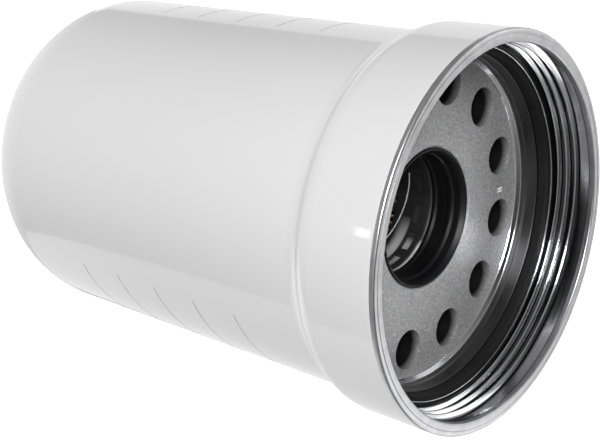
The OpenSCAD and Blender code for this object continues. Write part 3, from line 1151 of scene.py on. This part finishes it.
class OILFILTER_OT_centre_tube(bpy.types.Operator):
    """Roll the slotted centre tube and its spiral seam"""

    bl_idname = "oilfilter.centre_tube"
    bl_label = "Centre tube"

    def execute(self, context):
        low, high = heights_mm("centre_tube")
        inner, outer = radii_mm("centre_tube")
        steel = finish_named("tube_steel")
        values = {
            "Radius": inner * MM, "Wall": (outer - inner) * MM, "Low": low * MM, "High": high * MM,
            "Columns": 12, "Rows": 12, "Slot columns": 7, "Slot rows": 2,
            "Column cells": 10, "Row cells": 7, "Material": steel,
        }
        mesh = outward(grown_mesh("slotted_tube", perforated_tree(), values))
        smooth(mesh, 40)
        place("slotted_tube", mesh, steel, "element", ("centre_tube",))
        face, proud, half = inner * MM, 0.00018, 0.00024
        ridge = [
            (face + OVERLAP, half), (face, half), (face - proud, half * 0.5),
            (face - proud, -half * 0.5), (face, -half), (face + OVERLAP, -half),
        ]
        turns, steps, pitch, middle, start_turn = 4.3, 96, 0.024, 0.0872, math.radians(76)
        seam = wound_ridge("tube_seam", lambda done, left: ridge, turns, steps, pitch, middle, start_turn)
        # The seam ridge is real; its pale finish is a painted highlight
        place("tube_seam", seam, finish_named("seam_steel"), "element", ("centre_tube",))
        return {"FINISHED"}


class OILFILTER_OT_pleats(bpy.types.Operator):
    """Fold the pleated paper"""

    bl_idname = "oilfilter.pleats"
    bl_label = "Pleated paper"

    def execute(self, context):
        low, high = heights_mm("pleated_media")
        inner, outer = radii_mm("pleated_media")
        paper = finish_named("filter_paper")
        values = {
            "Inner radius": (inner + 0.4) * MM, "Outer radius": (outer - 0.5) * MM,
            "Low": low * MM, "High": high * MM, "Folds": sizes().pleats, "Paper": 0.0006, "Material": paper,
        }
        mesh = outward(grown_mesh("paper_pleats", pleats_tree(), values))
        place("paper_pleats", mesh, paper, "element", ("pleated_media",))
        return {"FINISHED"}


class OILFILTER_OT_springs(bpy.types.Operator):
    """Wind the element's spring and the bypass spring"""

    bl_idname = "oilfilter.springs"
    bl_label = "Springs"

    def execute(self, context):
        tree = coil_tree()
        steel = finish_named("spring_steel")
        springs = (
            ("coil_under_element", "element_spring", "housing", "element_slide", 3.0, 1.6, False),
            ("coil_on_poppet", "bypass_spring", "element", "bypass_lift", 5.0, 0.6, True),
        )
        for name, node, body, joint, turns, wire, held_at_top in springs:
            low, high = heights_mm(node)
            coil = radii_mm(node)[1] - wire
            values = {
                "Coil radius": coil * MM, "Wire radius": wire * MM * 0.985,
                "Low": (low + wire) * MM, "High": (high - wire) * MM,
                "Turns": turns, "Steps": 36, "Sides": 16, "Material": steel,
            }
            mesh = outward(grown_mesh(name, tree, values))
            smooth(mesh, 50)
            piece = place(name, mesh, steel, body, (node,))
            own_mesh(piece)
        return {"FINISHED"}


class OILFILTER_OT_hidden_pieces(bpy.types.Operator):
    """Give the pieces inside the canister their finishes"""

    bl_idname = "oilfilter.hidden_pieces"
    bl_label = "Inner pieces"

    def execute(self, context):
        slots = {
            "plated_steel": (
                "valve_clamp_ring", "bypass_valve_body", "bypass_poppet", "bypass_spring_cage", "spring_seat",
            ),
            "cap_steel": ("element_top_cap", "element_bottom_cap"),
            "adhesive": ("top_bond", "bottom_bond"),
            "band_fibre": ("spacing_bands",),
            "valve_rubber": ("bypass_seal",),
        }
        for name, nodes in slots.items():
            for node in nodes:
                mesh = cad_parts[node].data
                mesh.materials.clear()
                mesh.materials.append(finish_named(name))
        return {"FINISHED"}


class OILFILTER_OT_stage(bpy.types.Operator):
    """Lay the floor, set the soft lights and aim the camera"""

    bl_idname = "oilfilter.stage"
    bl_label = "Floor, lights and camera"

    def execute(self, context):
        self.floor(context)
        self.lights(context)
        self.camera(context)
        return {"FINISHED"}

    def floor(self, context):
        """A plain pale floor under the base."""
        mesh = bpy.data.meshes.new("floor")
        reach = 4.0
        corners = [(-reach, -reach, 0), (reach, -reach, 0), (reach, reach, 0), (-reach, reach, 0)]
        mesh.from_pydata(corners, [], [(0, 1, 2, 3)])
        floor = bpy.data.objects.new("floor", mesh)
        context.scene.collection.objects.link(floor)
        glow = {"Emission Color": (1.0, 1.0, 1.0, 1.0), "Emission Strength": 0.6}
        finish = Finish("floor_paper", {"Roughness": 0.9, "Specular IOR Level": 0.1, **glow})
        tint = context.scene.filter_colours.floor
        marks = finish.patches(3.0)
        finish.feed("Base Color", finish.blend(marks, shade(tint, 0.995), shade(tint, 1.0)))
        mesh.materials.append(finish.material)
        floor.visible_diffuse = False
        floor.visible_glossy = False

    def lights(self, context):
        """A dim world with a lit horizon, and soft lamps around the filter."""
        world = bpy.data.worlds.new("studio")
        world.use_nodes = True
        write = NodeWriter(world.node_tree)
        spot = write.add("ShaderNodeTexCoord").outputs["Generated"]
        height = write.add("ShaderNodeSeparateXYZ", {0: spot}).outputs[2]
        background = world.node_tree.nodes["Background"]
        background.inputs["Color"].default_value = (1.0, 1.0, 1.0, 1.0)
        sky = write.span(height, 0.62, 0.90, 0.34, 0.04)
        bounce = write.falling(height, -0.95, -0.72)
        world.node_tree.links.new(write.math("ADD", sky, bounce), background.inputs["Strength"])
        context.scene.world = world
        lamps = (
            ("key", (-0.30, -1.0, 0.85), (0.45, 0.45), 21.0),
            ("back", (0.0, 1.1, 0.78), (2.6, 1.0), 4.6),
            ("left", (-1.2, 0.9, 0.45), (0.35, 0.6), 1.6),
            ("right", (1.2, 0.9, 0.45), (0.35, 0.6), 1.6),
            ("flank_left", (-0.41, 0.88, 0.88), (0.42, 0.60), 0.95),
            ("flank_right", (0.48, 0.84, 0.88), (0.42, 0.60), 0.95),
            ("window", (0.0213, -0.220, 0.0607), (0.016, 0.009), 0.004),
        )
        collar = Vector((0, 0, RIM * MM * 0.9))
        for name, spot, size, power in lamps:
            self.area(context, name, Vector(spot), collar, size, power)
        # Two glowing cards on the floor, seen only in the thread's and the lip's reflections
        cards = (
            ("card_right", (0.036, -0.046), (0.73, -0.30), 1, 0.9),
            ("card_left", (-0.051, -0.023), (-0.589, 0.483), -1, 0.8),
        )
        width, depth, gap, lift = 0.36, 0.34, 0.01, 0.002
        for name, start, edge, side, glow in cards:
            along = Vector((*edge, 0)).normalized()
            across = Vector((-along.y, along.x, 0)) * side
            spot = Vector((*start, lift)) + along * (width / 2 + gap) + across * depth / 2
            power = glow * math.pi * width * depth
            card = self.area(context, name, spot, spot + Vector((0, 0, 1)), (width, depth), power)
            card.rotation_euler = (math.pi, 0, math.atan2(along.y, along.x))
            card.visible_diffuse = False

    def area(self, context, name, spot, target, size, power):
        """A rectangular lamp that the camera doesn't see, turned towards a point."""
        light = bpy.data.lights.new(name, "AREA")
        light.shape = "RECTANGLE"
        light.size, light.size_y = size
        light.energy = power
        lamp = bpy.data.objects.new(name, light)
        lamp.location = spot
        lamp.rotation_euler = (target - spot).to_track_quat("-Z", "Y").to_euler()
        lamp.visible_camera = False
        context.scene.collection.objects.link(lamp)
        return lamp

    def camera(self, context):
        """Looks down into the open end from one side, with the filter's axis across the picture."""
        spot = (-0.040649, -0.297313, 0.354732)
        right = Vector((-0.140843, 0.645809, 0.750396)).normalized()
        back = right.cross(Vector((-0.984676, -0.012641, -0.173936))).normalized()
        up = back.cross(right)
        camera = bpy.data.cameras.new("camera")
        camera.lens = 70.436
        camera.sensor_width = 36.0
        camera.shift_y = -0.06
        camera.clip_start = 0.01
        eye = bpy.data.objects.new("camera", camera)
        turned = Matrix((right, up, back)).transposed().to_4x4()
        eye.matrix_world = Matrix.Translation(spot) @ turned
        context.scene.collection.objects.link(eye)
        context.scene.camera = eye
        context.scene.view_settings.view_transform = "Standard"


OPERATORS = (
    OILFILTER_OT_stage,
    OILFILTER_OT_canister,
    OILFILTER_OT_lip,
    OILFILTER_OT_rules,
    OILFILTER_OT_adapter,
    OILFILTER_OT_gasket,
    OILFILTER_OT_plate,
    OILFILTER_OT_punch_marks,
    OILFILTER_OT_bore_seal,
    OILFILTER_OT_drainback,
    OILFILTER_OT_centre_tube,
    OILFILTER_OT_pleats,
    OILFILTER_OT_springs,
    OILFILTER_OT_hidden_pieces,
)


class OILFILTER_PT_panel(bpy.types.Panel):
    """Lists the filter's pieces in the 3D view's sidebar"""

    bl_idname = "OILFILTER_PT_panel"
    bl_label = "Oil filter"
    bl_space_type = "VIEW_3D"
    bl_region_type = "UI"
    bl_category = "Oil filter"

    def draw(self, context):
        for operator in OPERATORS:
            self.layout.operator(operator.bl_idname)


CLASSES = (FilterSizes, FilterColours, *OPERATORS, OILFILTER_PT_panel)


def register():
    """Registers the classes and the scene's sizes and colours."""
    for item in CLASSES:
        bpy.utils.register_class(item)
    bpy.types.Scene.filter_sizes = PointerProperty(type=FilterSizes)
    bpy.types.Scene.filter_colours = PointerProperty(type=FilterColours)


def unregister():
    """Removes what register() added."""
    del bpy.types.Scene.filter_colours
    del bpy.types.Scene.filter_sizes
    for item in reversed(CLASSES):
        bpy.utils.unregister_class(item)


def main():
    """Registers the classes and builds every piece."""
    register()
    for operator in OPERATORS:
        group, name = operator.bl_idname.split(".")
        getattr(getattr(bpy.ops, group), name)()


if __name__ == "__main__":
    main()
